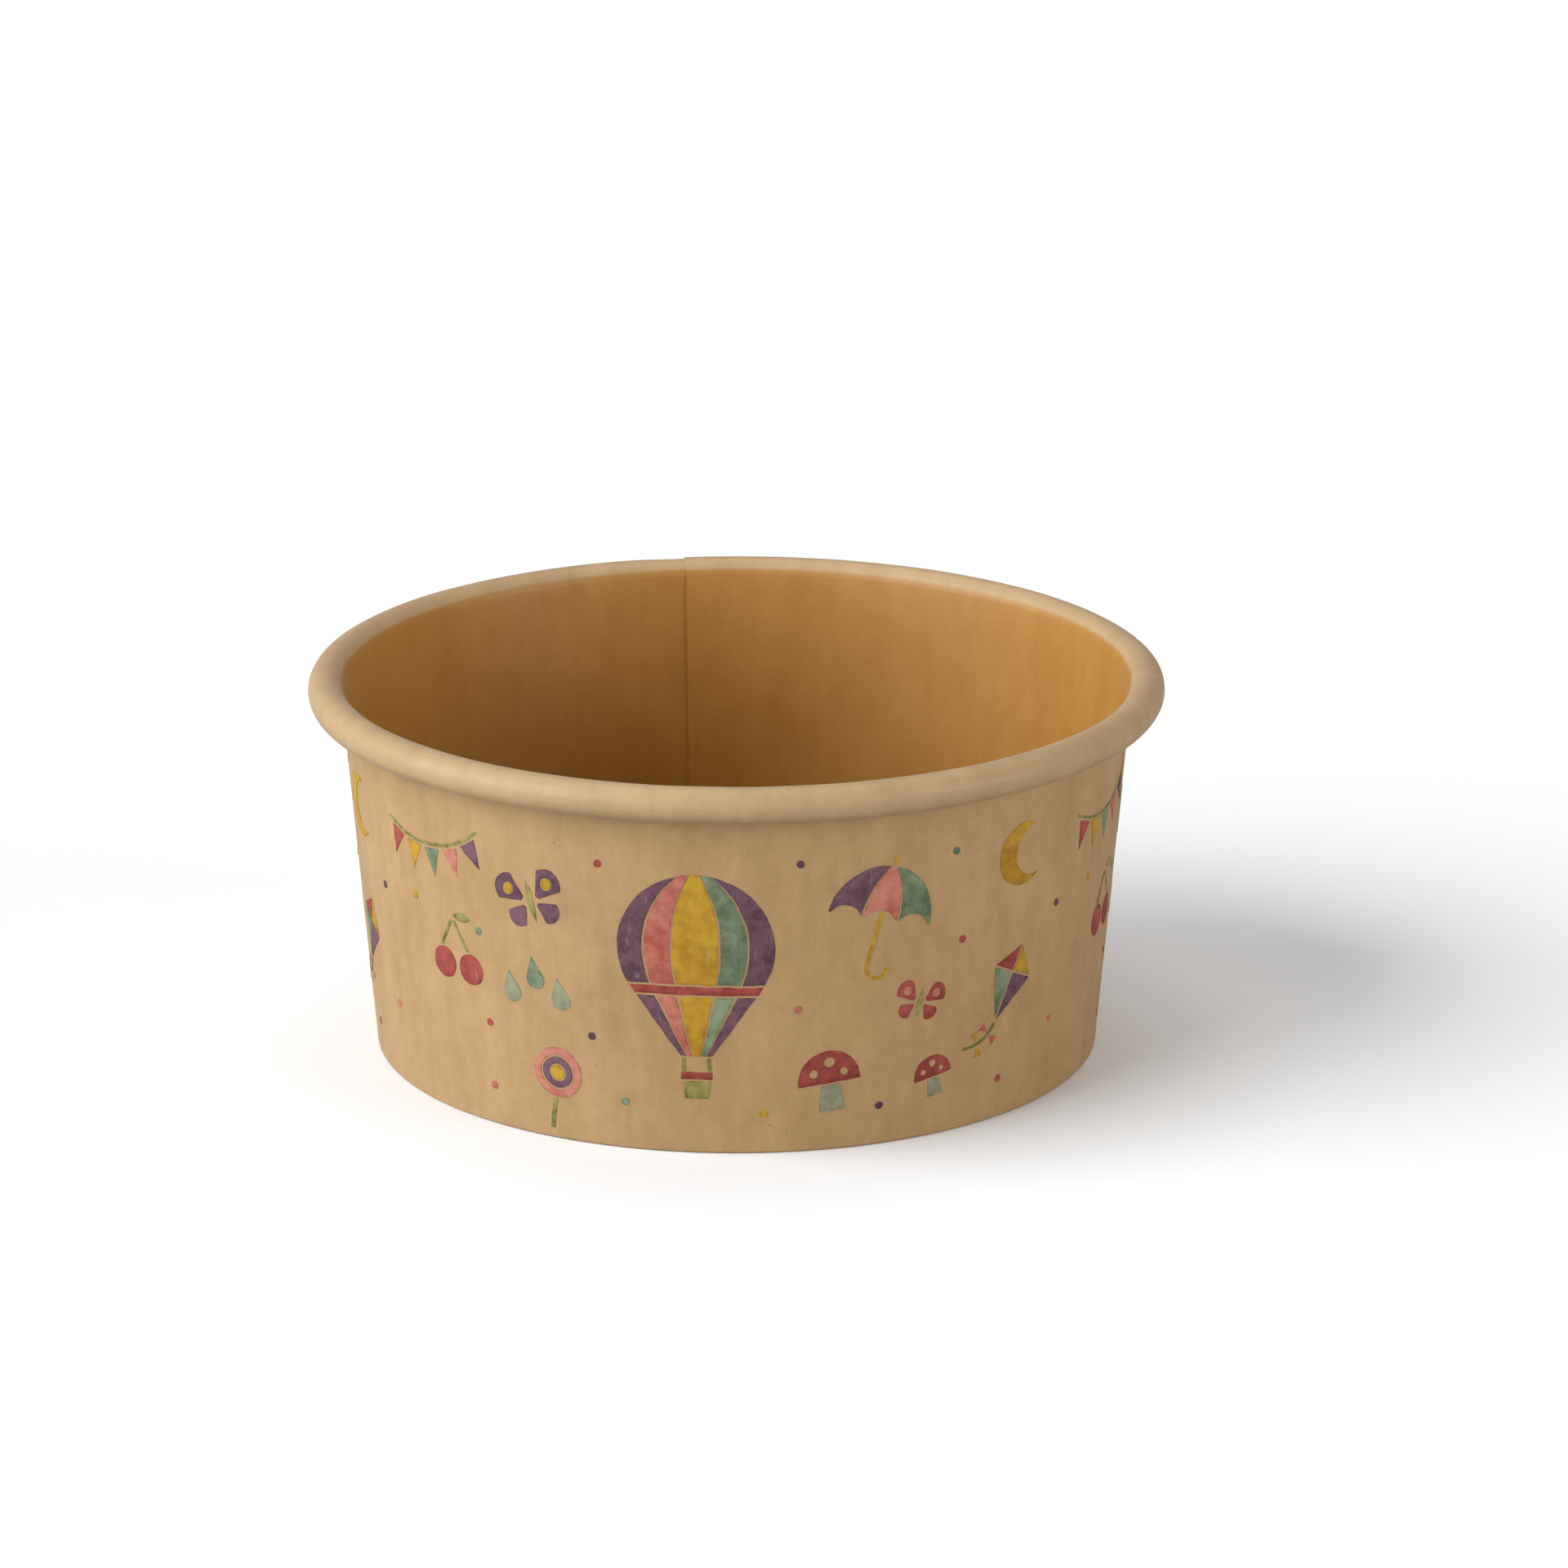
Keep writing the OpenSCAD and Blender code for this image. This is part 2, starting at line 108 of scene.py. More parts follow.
floor_paint = bpy.data.materials.new("floor_paint")
floor_paint.use_nodes = True
tree = floor_paint.node_tree
tree.nodes.clear()
seen = add(tree, "ShaderNodeLightPath").outputs["Is Camera Ray"]
lift = add(tree, "ShaderNodeMath", set_operation="MULTIPLY", in0=seen, in1=floor_lift)
shade = add(tree, "ShaderNodeMix", set_data_type="RGBA", in0=seen, in6=floor_grey, in7=floor_white)
matt = add(tree, "ShaderNodeBsdfDiffuse", Color=shade.outputs[2])
glow = add(tree, "ShaderNodeEmission", Color=(1, 1, 1, 1), Strength=lift.outputs[0])
both = add(tree, "ShaderNodeAddShader", in0=matt.outputs[0], in1=glow.outputs[0])
add(tree, "ShaderNodeOutputMaterial", Surface=both.outputs[0])
mesh.materials.append(floor_paint)

room = bpy.data.worlds.new("room")
scene.world = room
room.use_nodes = True
tree = room.node_tree
tree.nodes.clear()
seen = add(tree, "ShaderNodeLightPath").outputs["Is Camera Ray"]
facing = add(tree, "ShaderNodeSeparateXYZ", Vector=add(tree, "ShaderNodeTexCoord").outputs["Generated"])
level = add(tree, "ShaderNodeMapRange", Value=facing.outputs["Z"], From_Min=0, From_Max=0.8,
            To_Min=room_low, To_Max=room_high).outputs["Result"]
behind = add(tree, "ShaderNodeMapRange", Value=facing.outputs["Y"], From_Min=0.2, From_Max=0.8,
             To_Min=1.0, To_Max=room_behind).outputs["Result"]
dim = add(tree, "ShaderNodeMath", set_operation="MULTIPLY", in0=level, in1=behind)
plain = add(tree, "ShaderNodeBackground", Color=(1, 1, 1, 1), Strength=dim.outputs[0])
white = add(tree, "ShaderNodeBackground", Color=(1, 1, 1, 1), Strength=1.0)
pick = add(tree, "ShaderNodeMixShader", in0=seen, in1=plain.outputs[0], in2=white.outputs[0])
add(tree, "ShaderNodeOutputWorld", Surface=pick.outputs[0])

for name, azimuth, elevation, size, watts, tint in [
    ("soft_box", -70, 26, 10.0, 1240, (0.95, 0.99, 1.03)),
    ("side_fill", 62, 12, 5.0, 320, (1.02, 0.985, 0.94)),
    ("front_fill", 0, 4, 3.0, 90, (1.0, 1.0, 1.0)),
    ("top_light", 178, 72, 7.0, 225, (0.99, 1.0, 1.02)),
]:
    lamp = bpy.data.objects.new(name, bpy.data.lights.new(name, "AREA"))
    scene.collection.objects.link(lamp)
    lamp.data.shape = "DISK"
    lamp.data.size = size
    lamp.data.energy = watts
    lamp.data.color = tint
    a, e = radians(azimuth), radians(elevation)
    toward = Vector((sin(a) * cos(e), -cos(a) * cos(e), sin(e)))
    lamp.location = toward * lamp_away + Vector((0, 0, rim_height / 2))
    lamp.rotation_mode = "QUATERNION"
    lamp.rotation_quaternion = toward.to_track_quat("Z", "Y")

# Side wall: one fan-shaped blank of brown kraft board, wrapped into a cone and heat-sealed over a lap
# at the back. Its top edge is rolled outward into the rim, and its bottom edge is folded under and up
# inside as a hem, which is knurled against the disc's skirt.
mm = 0.001
board = 0.5 * mm
base_r = 50 * mm
rim_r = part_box("side_wall")[1].x
roll_r = 2.5 * mm
fold_r = 0.4 * mm
tuck_turn = 110
tuck_gap = 0.1 * mm
slot = 0.504 * mm
stack = 2 * board + slot
hem_h = 5.6 * mm
disc_high = 7 * mm
roll_x = rim_r - roll_r
roll_z = rim_height - roll_r
lean = acos((roll_r - board) / hypot(roll_x - base_r, roll_z)) - atan2(roll_z, roll_x - base_r)
tuck_r = roll_r - (board + tuck_gap) / (1 + sin(lean))
tuck_z = roll_z - roll_r + tuck_r
mean_r = base_r + rim_height / 2 * tan(lean)
seam_az = pi
lap = 7 * mm / mean_r
relax = 9 * mm / mean_r
lap_fades = 48.5 * mm, 49.4 * mm
# Heights over which the roll turns to a paler, whiter board: partly stretched fibre, partly painted sheen
roll_pale_and_sheen_heights = 47.9 * mm, 50.2 * mm
# Where the inside's darker brown stops on the roll: partly the coating's own colour, partly painted shade of
# the hollow, with its sharp border a painted shading edge
coat_and_shade_ends = 51.45 * mm, 51.95 * mm
knurl = 0.17 * mm
knurl_low = 0.9 * mm, 1.4 * mm
knurl_high = 4.4 * mm, 4.9 * mm
columns = 480


def face_r(depth, z):
    """Radius at height z of the face that lies a depth inside the wall's outer face."""
    return base_r + z * tan(lean) - depth / cos(lean)


def straight(bm, tip, x, z, kind=0):
    """Draws on from the tip of a section to (x, z)."""
    end = bmesh.ops.extrude_vert_indiv(bm, verts=[tip])["verts"][0]
    end.co = (x, 0, z)
    end[bm.verts.layers.float["skin"]] = kind
    return end


def bend(bm, tip, x, z, degrees, kind=0, step=9):
    """Draws on from the tip of a section by turning it round (x, z)."""
    steps = ceil(abs(degrees) / step)
    for _ in range(steps):
        tip = bmesh.ops.extrude_vert_indiv(bm, verts=[tip])["verts"][0]
        part = Matrix.Rotation(radians(-degrees / steps), 3, "Y")
        bmesh.ops.rotate(bm, verts=[tip], cent=(x, 0, z), matrix=part)
        tip[bm.verts.layers.float["skin"]] = kind
    return tip


def polar(co):
    """Radius, azimuth from the front towards the right, and height of a point."""
    return hypot(co.x, co.y), atan2(co.x, -co.y), co.z


def place(r, az, z):
    return Vector((r * sin(az), -r * cos(az), z))


def smooth(t):
    t = min(1, max(0, t))
    return t * t * (3 - 2 * t)


def settle(co):
    """The cup as it stands after rolling and stacking: a hair out of round, more so towards the rim."""
    r, az, z = polar(co)
    share = smooth(z / rim_height)
    soft = noise.noise(Vector((sin(az) * 1.7, cos(az) * 1.7, z * 25)))
    r -= share * mm * (0.09 * (1 + sin(2 * az + 0.7)) + 0.06 * (1 + soft))
    return place(r, az, z)


bm = bmesh.new()
skin = bm.verts.layers.float.new("skin")
run = bm.verts.layers.float.new("run")
coat_and_shade = bm.verts.layers.float.new("coat_and_shade")
rolled = bm.verts.layers.float.new("rolled")
OUTSIDE, ROLL_HIDDEN, TUCK, ROLL, INSIDE, HEM = 1, 2, 3, 4, 5, 6
outer_x = face_r(fold_r, fold_r)
inner_x = face_r(stack - fold_r, fold_r)
first = bm.verts.new((outer_x, 0, 0))
first[skin] = OUTSIDE
tip = bend(bm, first, outer_x, fold_r, 90 - lean * 180 / pi, OUTSIDE)
start = 180 - lean * 180 / pi
tip = straight(bm, tip, roll_x - (roll_r - board) * cos(lean), roll_z + (roll_r - board) * sin(lean), OUTSIDE)
tip = bend(bm, tip, roll_x, roll_z, -90 - start, ROLL_HIDDEN)
tip = bend(bm, tip, roll_x, tuck_z, -tuck_turn, TUCK)
turn = radians(270 - tuck_turn)
tip = straight(bm, tip, roll_x + tuck_r * cos(turn), tuck_z + tuck_r * sin(turn), TUCK)
tip = bend(bm, tip, roll_x, tuck_z, tuck_turn, TUCK)
tip = bend(bm, tip, roll_x, roll_z, 90 + start, ROLL, 6)
tip = straight(bm, tip, face_r(board, board), board, INSIDE)
tip = straight(bm, tip, face_r(board + slot, board), board, HEM)
tip = straight(bm, tip, face_r(board + slot, hem_h), hem_h, HEM)
tip = straight(bm, tip, face_r(stack, hem_h), hem_h, HEM)
tip = straight(bm, tip, inner_x - fold_r * cos(lean), fold_r + fold_r * sin(lean), HEM)
tip = bend(bm, tip, inner_x, fold_r, 90 + lean * 180 / pi, HEM)
bm.edges.new((tip, first))
for edge in bm.edges[:]:
    long = edge.calc_length()
    if long > 1.2 * mm:
        kinds = {round(v[skin]) for v in edge.verts}
        made = bmesh.ops.subdivide_edges(bm, edges=[edge], cuts=ceil(long / (1.6 * mm)) - 1)
        for v in made["geom_inner"]:
            if isinstance(v, bmesh.types.BMVert):
                v[skin] = INSIDE if INSIDE in kinds and HEM not in kinds else max(kinds)

# How far along the board each point of the section lies, so that the grain follows the rolled edge
first = min(bm.verts, key=lambda v: (v.co - Vector((outer_x, 0, 0))).length)
here, before, length = first, None, 0.0
while True:
    ahead = [e for e in here.link_edges if e is not before]
    onward = ahead[0] if before else [e for e in ahead if e.other_vert(here).co.z > here.co.z + 1e-9][0]
    here, length, before = onward.other_vert(here), length + onward.calc_length(), onward
    if here is first:
        break
    here[run] = length

bmesh.ops.rotate(bm, verts=bm.verts, cent=(0, 0, 0), matrix=Matrix.Rotation(pi / columns, 3, "Z"))
bmesh.ops.spin(bm, geom=bm.verts[:] + bm.edges[:], cent=(0, 0, 0), axis=(0, 0, 1), angle=2 * pi,
               steps=columns, use_merge=True)
bmesh.ops.remove_doubles(bm, verts=bm.verts, dist=1e-7)
bmesh.ops.recalc_face_normals(bm, faces=bm.faces)

# The two raw edges of the lap are cut into the wall as pairs of lines, with a step between each pair
sliver = radians(0.02)
for cut in [seam_az - sliver, seam_az + sliver, seam_az + lap - sliver, seam_az + lap + sliver]:
    side = place(1, cut, 0)
    near = [f for f in bm.faces if f.calc_center_median().xy.normalized().dot(side.xy) > cos(radians(1.2))]
    around = set(v for f in near for v in f.verts) | set(e for f in near for e in f.edges) | set(near)
    bmesh.ops.bisect_plane(bm, geom=list(around), dist=1e-8, plane_co=(0, 0, 0),
                           plane_no=(-side.y, side.x, 0))


def layers_out(az):
    """How far the outer and the inner face stand out beside the lap, in thicknesses of board."""
    past = (az - seam_az) % (2 * pi)
    back = 1 - smooth((past - lap) / relax)
    return (back if past > 0 else 0), (back if past > lap else 0)


def blend_in(z, low, high):
    return smooth((z - low) / (high - low))


for v in bm.verts:
    r, az, z = polar(v.co)
    over, under = layers_out(az)
    kind = round(v[skin])
    if kind == OUTSIDE:
        v.co = place(r + over * board * (1 - blend_in(z, *lap_fades)), az, z)
    elif kind == INSIDE:
        v.co = place(r + under * board * blend_in(z, disc_high + 0.1 * mm, disc_high + 2 * mm), az, z)
    elif kind == ROLL:
        middle = place(roll_x, az, roll_z)
        wave = noise.noise(Vector((sin(az) * 6, cos(az) * 6, v[run] * 90)))
        dent = under * 0.45 * board + 0.045 * mm * (1 + wave)
        arm = v.co - middle
        v.co = middle + arm * (1 - dent / arm.length)
    elif kind == HEM and z > fold_r:
        ridge = (1 - cos(az * columns / 4)) / 2 * blend_in(z, *knurl_low) * (1 - blend_in(z, *knurl_high))
        if r < face_r(stack - board / 2, z):
            v.co = place(r + knurl * ridge, az, z)


def board_uv(bm, run_of):
    """Lays the grain on a piece: across is the way round the cup and up is the way along the board."""
    uv = bm.loops.layers.uv.new("board")
    for f in bm.faces:
        turn = [(polar(l.vert.co)[1]) % (2 * pi) for l in f.loops]
        wrap = max(turn) - min(turn) > pi
        for l, a in zip(f.loops, turn):
            l[uv].uv = ((a + (2 * pi if wrap and a < pi else 0)) * mean_r * 10, run_of(l.vert) * 10)


for v in bm.verts:
    r, az, z = polar(v.co)
    if round(v[skin]) in (ROLL, INSIDE):
        # The inside's darker brown, partly coating and partly painted shade of the hollow, ends in a sharp
        # painted shading edge on the roll
        v[coat_and_shade] = 1 - blend_in(z, *coat_and_shade_ends) if r < roll_x else 0.0
        # The roll takes a paler, whiter board, partly painted sheen
        v[rolled] = (1 - v[coat_and_shade]) * blend_in(z, *roll_pale_and_sheen_heights)
board_uv(bm, lambda v: v[run])
for v in bm.verts:
    v.co = settle(v.co)


def finish_piece(bm, name, material, node, sharp=35):
    """Makes a piece of a finished bmesh, with its material, its body and the CAD node that it stands for."""
    mesh = bpy.data.meshes.new(name)
    for f in bm.faces:
        f.smooth = True
    bm.to_mesh(mesh)
    bm.free()
    mesh.set_sharp_from_angle(angle=radians(sharp))
    mesh.materials.append(material)
    piece = bpy.data.objects.new(name, mesh)
    scene.collection.objects.link(piece)
    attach(piece, "root")
    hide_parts(node)
    return piece


def group(name, inputs, outputs):
    """Starts a shader node group with named inputs (name, kind, default) and outputs (name, kind)."""
    tree = bpy.data.node_groups.new(name, "ShaderNodeTree")
    for label, kind, value in inputs:
        socket = tree.interface.new_socket(label, in_out="INPUT", socket_type="NodeSocket" + kind)
        if value is not None:
            socket.default_value = value
    for label, kind in outputs:
        tree.interface.new_socket(label, in_out="OUTPUT", socket_type="NodeSocket" + kind)
    return tree, tree.nodes.new("NodeGroupInput").outputs, tree.nodes.new("NodeGroupOutput")


def maths(tree, operation, a, b=0.0, c=0.0, clamp=False):
    node = add(tree, "ShaderNodeMath", set_operation=operation, set_use_clamp=clamp, in0=a, in1=b, in2=c)
    return node.outputs[0]


def stir(tree, base, part, middle, amount):
    """Adds to a value what another one is away from its middle, times an amount."""
    return maths(tree, "MULTIPLY_ADD", maths(tree, "SUBTRACT", part, middle), amount, base)


def grain(tree, where, across, up, detail=3.0, rough=0.6, seed=0.0):
    """Noise from 0 to 1 with its own scale across and along the board, per millimetre."""
    size = (across * 100, up * 100, 1)
    scaled = add(tree, "ShaderNodeVectorMath", set_operation="MULTIPLY", in0=where, in1=size)
    start = (seed, seed * 1.7, seed)
    moved = add(tree, "ShaderNodeVectorMath", set_operation="ADD", in0=scaled.outputs[0], in1=start)
    node = add(tree, "ShaderNodeTexNoise", Vector=moved.outputs[0], Scale=1.0, Detail=detail, Roughness=rough)
    return node.outputs["Fac"]


def step(tree, value, low, high):
    """A smooth step from 0 at low to 1 at high."""
    node = add(tree, "ShaderNodeMapRange", set_interpolation_type="SMOOTHSTEP", Value=value,
               From_Min=low, From_Max=high)
    return node.outputs["Result"]


def mix(tree, share, a, b, blend="MIX"):
    """Mixes two colours."""
    node = add(tree, "ShaderNodeMix", set_data_type="RGBA", set_blend_type=blend, in0=share, in6=a, in7=b)
    return node.outputs[2]


# Kraft board: unbleached pulp with vertical machine streaks, cloudy formation, single fibres and flecks
kraft, given, out = group("kraft_pulp", [
    ("Grain", "Vector", None),
    ("Light", "Color", (0.5, 0.35, 0.2, 1)),
    ("Dark", "Color", (0.3, 0.18, 0.08, 1)),
    ("Streaks", "Float", 1.0),
    ("Flecks", "Float", 1.0),
], [("Color", "Color"), ("Height", "Float"), ("Roughness", "Float")])
where = given["Grain"]
streak = grain(kraft, where, 0.3, 0.04, 4, 0.6)
cloud = grain(kraft, where, 0.11, 0.07, 3, 0.55, 3.1)
mottle = grain(kraft, where, 0.5, 0.3, 3, 0.6, 13.7)
fibre = grain(kraft, where, 2.4, 0.7, 3, 0.7, 7.7)
cross = grain(kraft, where, 1.0, 2.2, 3, 0.7, 11.3)
fine = grain(kraft, where, 5.5, 5.0, 2, 0.6, 5.9)
tone = stir(kraft, 0.5, streak, 0.5, given["Streaks"])
for part, amount in [(cloud, 0.75), (mottle, 0.6), (fibre, 0.36), (cross, 0.3), (fine, 0.35)]:
    tone = stir(kraft, tone, part, 0.5, amount)
colour = mix(kraft, maths(kraft, "ADD", tone, clamp=True), given["Dark"], given["Light"])
thread = maths(kraft, "SUBTRACT", grain(kraft, where, 0.55, 0.4, 2, 0.5, 21.0), 0.5)
thread = step(kraft, maths(kraft, "ABSOLUTE", thread), 0.012, 0.0)
gate = step(kraft, grain(kraft, where, 0.3, 0.25, 2, 0.5, 31.0), 0.52, 0.62)
thread = maths(kraft, "MULTIPLY", maths(kraft, "MULTIPLY", thread, gate), 0.22)
colour = mix(kraft, thread, colour, given["Light"])
spot = add(kraft, "ShaderNodeVectorMath", set_operation="MULTIPLY", in0=where, in1=(42, 26, 1))
cell = add(kraft, "ShaderNodeTexVoronoi", Vector=spot.outputs[0], Scale=1.0, Randomness=1.0)
rare = step(kraft, add(kraft, "ShaderNodeSeparateColor", Color=cell.outputs["Color"]).outputs[0], 0.8, 0.97)
fleck = maths(kraft, "MULTIPLY", step(kraft, cell.outputs["Distance"], 0.1, 0.03), rare)
fleck = maths(kraft, "MULTIPLY", fleck, maths(kraft, "MULTIPLY", given["Flecks"], 0.55))
colour = mix(kraft, fleck, colour, (0.13, 0.07, 0.03, 1))
kraft.links.new(colour, out.inputs["Color"])
height = maths(kraft, "MULTIPLY_ADD", fine, 0.35, maths(kraft, "MULTIPLY", fibre, 0.5))
height = maths(kraft, "MULTIPLY_ADD", cloud, 0.8, height)
kraft.links.new(height, out.inputs["Height"])
kraft.links.new(maths(kraft, "MULTIPLY_ADD", tone, 0.16, 0.56), out.inputs["Roughness"])


def painted(name):
    """A material with its grain map, its Principled shader and its output."""
    material = bpy.data.materials.new(name)
    material.use_nodes = True
    tree = material.node_tree
    tree.nodes.clear()
    shader = tree.nodes.new("ShaderNodeBsdfPrincipled")
    add(tree, "ShaderNodeOutputMaterial", Surface=shader.outputs[0])
    uv = add(tree, "ShaderNodeUVMap", set_uv_map="board").outputs[0]
    return material, tree, shader, uv


def kraft_node(tree, uv, light, dark, streaks, flecks=1.0):
    """Places the kraft board in a material, with its own two colours."""
    return add(tree, "ShaderNodeGroup", set_node_tree=kraft, Grain=uv, Light=(*light, 1), Dark=(*dark, 1),
               Streaks=streaks, Flecks=flecks)


def coat(shader, index):
    """The board's finish all over: its index of refraction and how dull its coating is."""
    shader.inputs["IOR"].default_value = index
    shader.inputs["Coat Roughness"].default_value = 0.42


def tooth(tree, shader, height):
    """The board's fine relief under the light."""
    bump = add(tree, "ShaderNodeBump", Height=height, Strength=0.35, Distance=0.06 * mm)
    tree.links.new(bump.outputs[0], shader.inputs["Normal"])


kraft_light = (0.49, 0.312, 0.15)
kraft_dark = (0.325, 0.189, 0.073)
# The roll's paler, whiter board: partly stretched fibre, partly painted sheen
roll_pale_and_sheen_light = (0.49, 0.33, 0.175)
roll_pale_and_sheen_dark = (0.35, 0.22, 0.105)
# The inside's darker, deeper brown: partly the coating's colour, partly painted shade of the hollow
inside_coat_and_shade_light = (0.425, 0.21, 0.038)
inside_coat_and_shade_dark = (0.325, 0.137, 0.012)
coating = 0.42
kraft_board, tree, shader, uv = painted("kraft_board")
outer = kraft_node(tree, uv, kraft_light, kraft_dark, 0.7)
edge = kraft_node(tree, uv, roll_pale_and_sheen_light, roll_pale_and_sheen_dark, 0.6)
inner = kraft_node(tree, uv, inside_coat_and_shade_light, inside_coat_and_shade_dark, 0.7, 0.5)
coat_and_shade = add(tree, "ShaderNodeAttribute", set_attribute_name="coat_and_shade").outputs["Fac"]
rolled = add(tree, "ShaderNodeAttribute", set_attribute_name="rolled").outputs["Fac"]
# Paler roll board: partly painted sheen
colour = mix(tree, rolled, outer.outputs["Color"], edge.outputs["Color"])
# Darker inside brown: partly the coating, partly painted shade of the hollow
colour = mix(tree, coat_and_shade, colour, inner.outputs["Color"])
tree.links.new(colour, shader.inputs["Base Color"])
dull = maths(tree, "MULTIPLY_ADD", rolled, 0.15, outer.outputs["Roughness"])
tree.links.new(dull, shader.inputs["Roughness"])
gloss = maths(tree, "MULTIPLY_ADD", rolled, 0.4, maths(tree, "MULTIPLY", coat_and_shade, coating))
tree.links.new(gloss, shader.inputs["Coat Weight"])
coat(shader, 1.4)
shader.inputs["Sheen Weight"].default_value = 0.12
shader.inputs["Sheen Roughness"].default_value = 0.3
tooth(tree, shader, outer.outputs["Height"])
finish_piece(bm, "side_wall_board", kraft_board, "side_wall")

# Bottom disc: a round die-cut piece of the same board, coated on its upper face, which also takes the
# inside's darker brown, partly painted shade of the hollow. Its edge is turned down as a skirt, which the hem
# grips.
disc_low = disc_high - board
bond = 0.002 * mm
bend_r = 1 * mm
bend_z = disc_high - bend_r
bend_x = face_r(board + bond + bend_r, bend_z)
skirt_z = board + 0.1 * mm
bm = bmesh.new()
skin = bm.verts.layers.float.new("skin")
coat_and_shade = bm.verts.layers.float.new("coat_and_shade")
first = bm.verts.new((0, 0, disc_high))
tip = straight(bm, first, bend_x, disc_high)
tip = bend(bm, tip, bend_x, bend_z, -90 - lean * 180 / pi)
tip = straight(bm, tip, face_r(board + bond, skirt_z), skirt_z)
tip = straight(bm, tip, face_r(2 * board + bond, skirt_z), skirt_z)
tip = straight(bm, tip, bend_x + (bend_r - board) * cos(lean), bend_z - (bend_r - board) * sin(lean))
tip = bend(bm, tip, bend_x, bend_z, 90 + lean * 180 / pi)
straight(bm, tip, 0, disc_low)
for edge in bm.edges[:]:
    long = edge.calc_length()
    if long > 3 * mm:
        bmesh.ops.subdivide_edges(bm, edges=[edge], cuts=ceil(long / (2.5 * mm)) - 1)
bmesh.ops.spin(bm, geom=bm.verts[:] + bm.edges[:], cent=(0, 0, 0), axis=(0, 0, 1), angle=2 * pi,
               steps=240, use_merge=True)
bmesh.ops.remove_doubles(bm, verts=bm.verts, dist=1e-7)
bmesh.ops.recalc_face_normals(bm, faces=bm.faces)
uv = bm.loops.layers.uv.new("board")
for v in bm.verts:
    r, az, z = polar(v.co)
    v[coat_and_shade] = 1.0 if z > disc_high - 0.9 * mm else 0.0
for f in bm.faces:
    for l in f.loops:
        l[uv].uv = (l.vert.co.x * 10 + 40, l.vert.co.y * 10 + 40)
for v in bm.verts:
    r, az, z = polar(v.co)
    dip = 1 - smooth(r / (46 * mm))
    cockle = noise.noise(v.co * 55)
    v.co = settle(v.co)
    v.co.z -= mm * dip * (0.3 + 0.12 * cockle)

coated_board, tree, shader, uv = painted("coated_board")
paper = kraft_node(tree, uv, kraft_light, kraft_dark, 0.6)
# The coated upper face takes the inside's darker brown, partly painted shade of the hollow
upper = kraft_node(tree, uv, inside_coat_and_shade_light, inside_coat_and_shade_dark, 0.6, 0.5)
coat_and_shade = add(tree, "ShaderNodeAttribute", set_attribute_name="coat_and_shade").outputs["Fac"]
tree.links.new(mix(tree, coat_and_shade, paper.outputs["Color"], upper.outputs["Color"]), shader.inputs["Base Color"])
tree.links.new(paper.outputs["Roughness"], shader.inputs["Roughness"])
tree.links.new(maths(tree, "MULTIPLY", coat_and_shade, coating), shader.inputs["Coat Weight"])
coat(shader, 1.45)
tooth(tree, shader, paper.outputs["Height"])
finish_piece(bm, "bottom_disc_board", coated_board, "bottom_disc")

# Print: seven water-based inks laid on the flat blank before it is cut, in fields that look painted by
# hand. The outline of each field is taken off the CAD node and gets a brush's waver, and the pigment
# gathers in a darker line along it.
film = 0.05 * mm
seat = 0.006 * mm
cell_size = 0.45 * mm
# Without a seed of its own, the brush's waver would be another one in each run
waver_seed = 1
noise.seed_set(waver_seed)
fold_run = fold_r * (pi / 2 - lean)


def flat(co):
    """A point of the wall laid flat: the way round in x and the height in y."""
    r, az, z = polar(co)
    return Vector((az * mean_r, z, 0))


def island_of(face, left):
    """The faces that hang together with this one."""
    found, open_faces = {face}, [face]
    left.discard(face)
    while open_faces:
        for edge in open_faces.pop().edges:
            for other in edge.link_faces:
                if other in left:
                    left.discard(other)
                    found.add(other)
                    open_faces.append(other)
    return found


